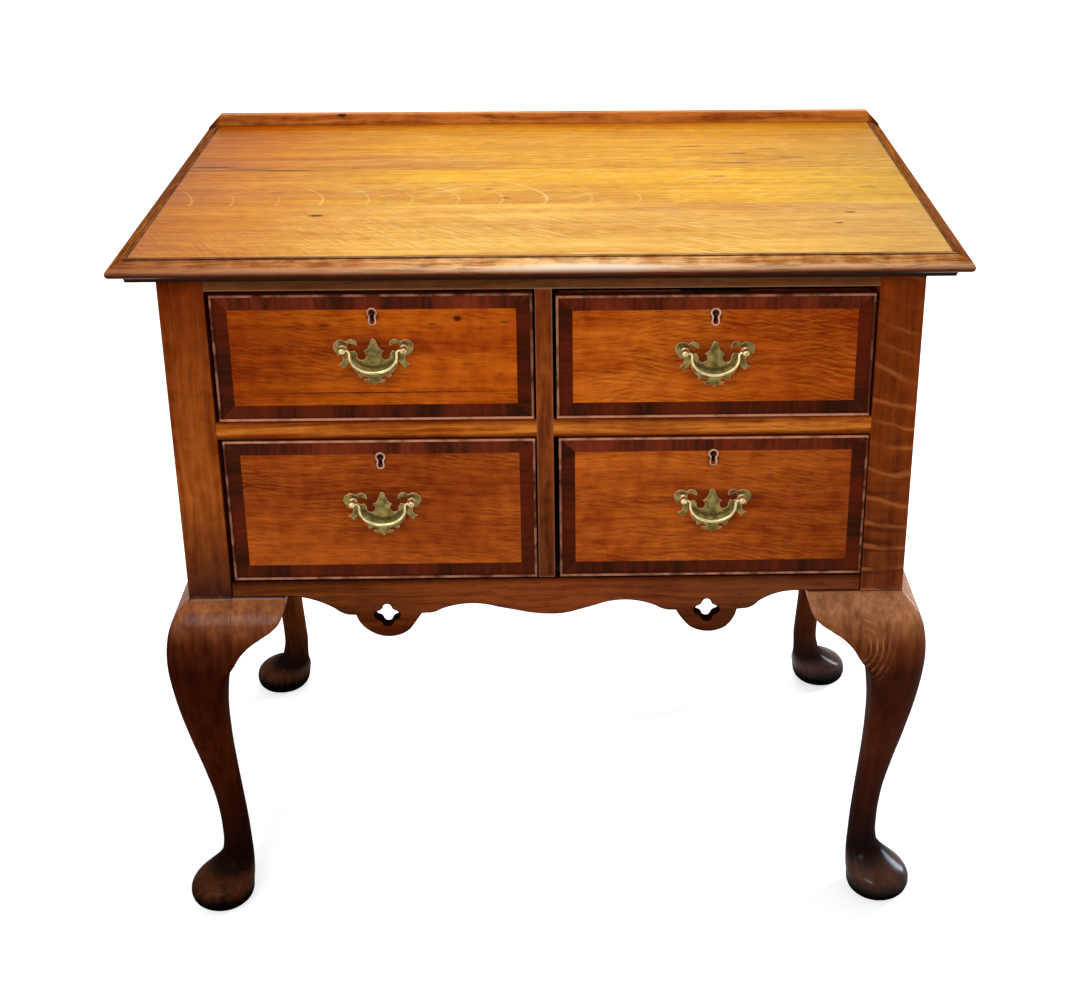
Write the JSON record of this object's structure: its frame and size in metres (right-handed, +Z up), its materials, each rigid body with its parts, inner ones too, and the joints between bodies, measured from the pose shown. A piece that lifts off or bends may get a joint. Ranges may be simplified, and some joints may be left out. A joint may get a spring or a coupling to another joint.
{
  "type": "lowboy",
  "caption": "Oak lowboy on cabriole legs with pad feet, a moulded top with a low gallery, a pierced apron and crossbanded drawers with bail handles.",
  "frame": {"origin": "on the floor under the middle of the whole piece", "axes": "+Z up, +X to the right seen from the front, the drawers face -Y"},
  "size_m": [0.78, 0.5124, 0.7564],
  "materials": {
    "oak_top": "waxed quarter-sawn oak, golden brown",
    "oak_legs": "waxed oak, dark red-brown",
    "oak_case": "waxed oak, brown",
    "oak_drawer_fronts": "waxed oak, orange brown",
    "banding": "polished crossbanding, dark red-brown",
    "oak_beads": "waxed bead, worn along its edge",
    "oak_inside": "dry unfinished oak",
    "brass": "aged, rubbed at the edges",
    "iron": "dark forged iron"
  },
  "bodies": {
    "case": {"top_board_front": "oak_top", "top_board_middle": "oak_top", "top_board_back": "oak_top", "top_moulding_front": "oak_top", "top_moulding_left": "oak_top", "top_moulding_right": "oak_top", "gallery_rail": "oak_top", "leg_front_left": "oak_legs", "leg_front_right": "oak_legs", "leg_rear_left": "oak_legs", "leg_rear_right": "oak_legs", "knee_brackets_front": "oak_legs", "knee_brackets_side": "oak_legs", "side_panel_left": "oak_case", "side_panel_right": "oak_case", "top_rail": "oak_case", "centre_stile": "oak_case", "drawer_dividers": "oak_case", "apron": "oak_case", "back_panel": "oak_inside", "centre_partition": "oak_inside", "drawer_runners": "oak_inside", "drawer_kickers": "oak_inside", "drawer_stops": "oak_inside"},
    "drawer_upper_left": {"drawer_upper_left_front": "oak_drawer_fronts", "drawer_upper_left_crossbanding": "banding", "drawer_upper_left_cockbeading": "oak_beads", "drawer_upper_left_box": "oak_inside", "drawer_upper_left_lock": "brass", "drawer_upper_left_plates": "brass", "drawer_upper_left_posts": "brass"},
    "drawer_upper_left_bail": {"drawer_upper_left_bail": "brass"},
    "drawer_upper_left_bolt": {"drawer_upper_left_lock_bolt": "iron"},
    "drawer_upper_right": {"drawer_upper_right_front": "oak_drawer_fronts", "drawer_upper_right_crossbanding": "banding", "drawer_upper_right_cockbeading": "oak_beads", "drawer_upper_right_box": "oak_inside", "drawer_upper_right_lock": "brass", "drawer_upper_right_plates": "brass", "drawer_upper_right_posts": "brass"},
    "drawer_upper_right_bail": {"drawer_upper_right_bail": "brass"},
    "drawer_upper_right_bolt": {"drawer_upper_right_lock_bolt": "iron"},
    "drawer_lower_left": {"drawer_lower_left_front": "oak_drawer_fronts", "drawer_lower_left_crossbanding": "banding", "drawer_lower_left_cockbeading": "oak_beads", "drawer_lower_left_box": "oak_inside", "drawer_lower_left_lock": "brass", "drawer_lower_left_plates": "brass", "drawer_lower_left_posts": "brass"},
    "drawer_lower_left_bail": {"drawer_lower_left_bail": "brass"},
    "drawer_lower_left_bolt": {"drawer_lower_left_lock_bolt": "iron"},
    "drawer_lower_right": {"drawer_lower_right_front": "oak_drawer_fronts", "drawer_lower_right_crossbanding": "banding", "drawer_lower_right_cockbeading": "oak_beads", "drawer_lower_right_box": "oak_inside", "drawer_lower_right_lock": "brass", "drawer_lower_right_plates": "brass", "drawer_lower_right_posts": "brass"},
    "drawer_lower_right_bail": {"drawer_lower_right_bail": "brass"},
    "drawer_lower_right_bolt": {"drawer_lower_right_lock_bolt": "iron"}
  },
  "joints": [
    {"name": "drawer_upper_left_slide", "type": "slide", "parent": "case", "child": "drawer_upper_left", "axis": [0, -1, 0], "range_m": [0, 0.3]},
    {"name": "drawer_upper_left_bail_swing", "type": "hinge", "parent": "drawer_upper_left", "child": "drawer_upper_left_bail", "pos_m": [-0.15905, -0.22482, 0.647], "axis": [-1, 0, 0], "range_deg": [-12, 160]},
    {"name": "drawer_upper_left_bolt_throw", "type": "slide", "parent": "drawer_upper_left", "child": "drawer_upper_left_bolt", "axis": [0, 0, 1], "range_m": [0, 0.01]},
    {"name": "drawer_upper_right_slide", "type": "slide", "parent": "case", "child": "drawer_upper_right", "axis": [0, -1, 0], "range_m": [0, 0.3]},
    {"name": "drawer_upper_right_bail_swing", "type": "hinge", "parent": "drawer_upper_right", "child": "drawer_upper_right_bail", "pos_m": [0.16045, -0.22482, 0.6415], "axis": [-1, 0, 0], "range_deg": [-12, 160]},
    {"name": "drawer_upper_right_bolt_throw", "type": "slide", "parent": "drawer_upper_right", "child": "drawer_upper_right_bolt", "axis": [0, 0, 1], "range_m": [0, 0.01]},
    {"name": "drawer_lower_left_slide", "type": "slide", "parent": "case", "child": "drawer_lower_left", "axis": [0, -1, 0], "range_m": [0, 0.3]},
    {"name": "drawer_lower_left_bail_swing", "type": "hinge", "parent": "drawer_lower_left", "child": "drawer_lower_left_bail", "pos_m": [-0.15855, -0.22482, 0.48745], "axis": [-1, 0, 0], "range_deg": [-12, 160]},
    {"name": "drawer_lower_left_bolt_throw", "type": "slide", "parent": "drawer_lower_left", "child": "drawer_lower_left_bolt", "axis": [0, 0, 1], "range_m": [0, 0.01]},
    {"name": "drawer_lower_right_slide", "type": "slide", "parent": "case", "child": "drawer_lower_right", "axis": [0, -1, 0], "range_m": [0, 0.3]},
    {"name": "drawer_lower_right_bail_swing", "type": "hinge", "parent": "drawer_lower_right", "child": "drawer_lower_right_bail", "pos_m": [0.16195, -0.22482, 0.48745], "axis": [-1, 0, 0], "range_deg": [-12, 160]},
    {"name": "drawer_lower_right_bolt_throw", "type": "slide", "parent": "drawer_lower_right", "child": "drawer_lower_right_bolt", "axis": [0, 0, 1], "range_m": [0, 0.01]}
  ]
}
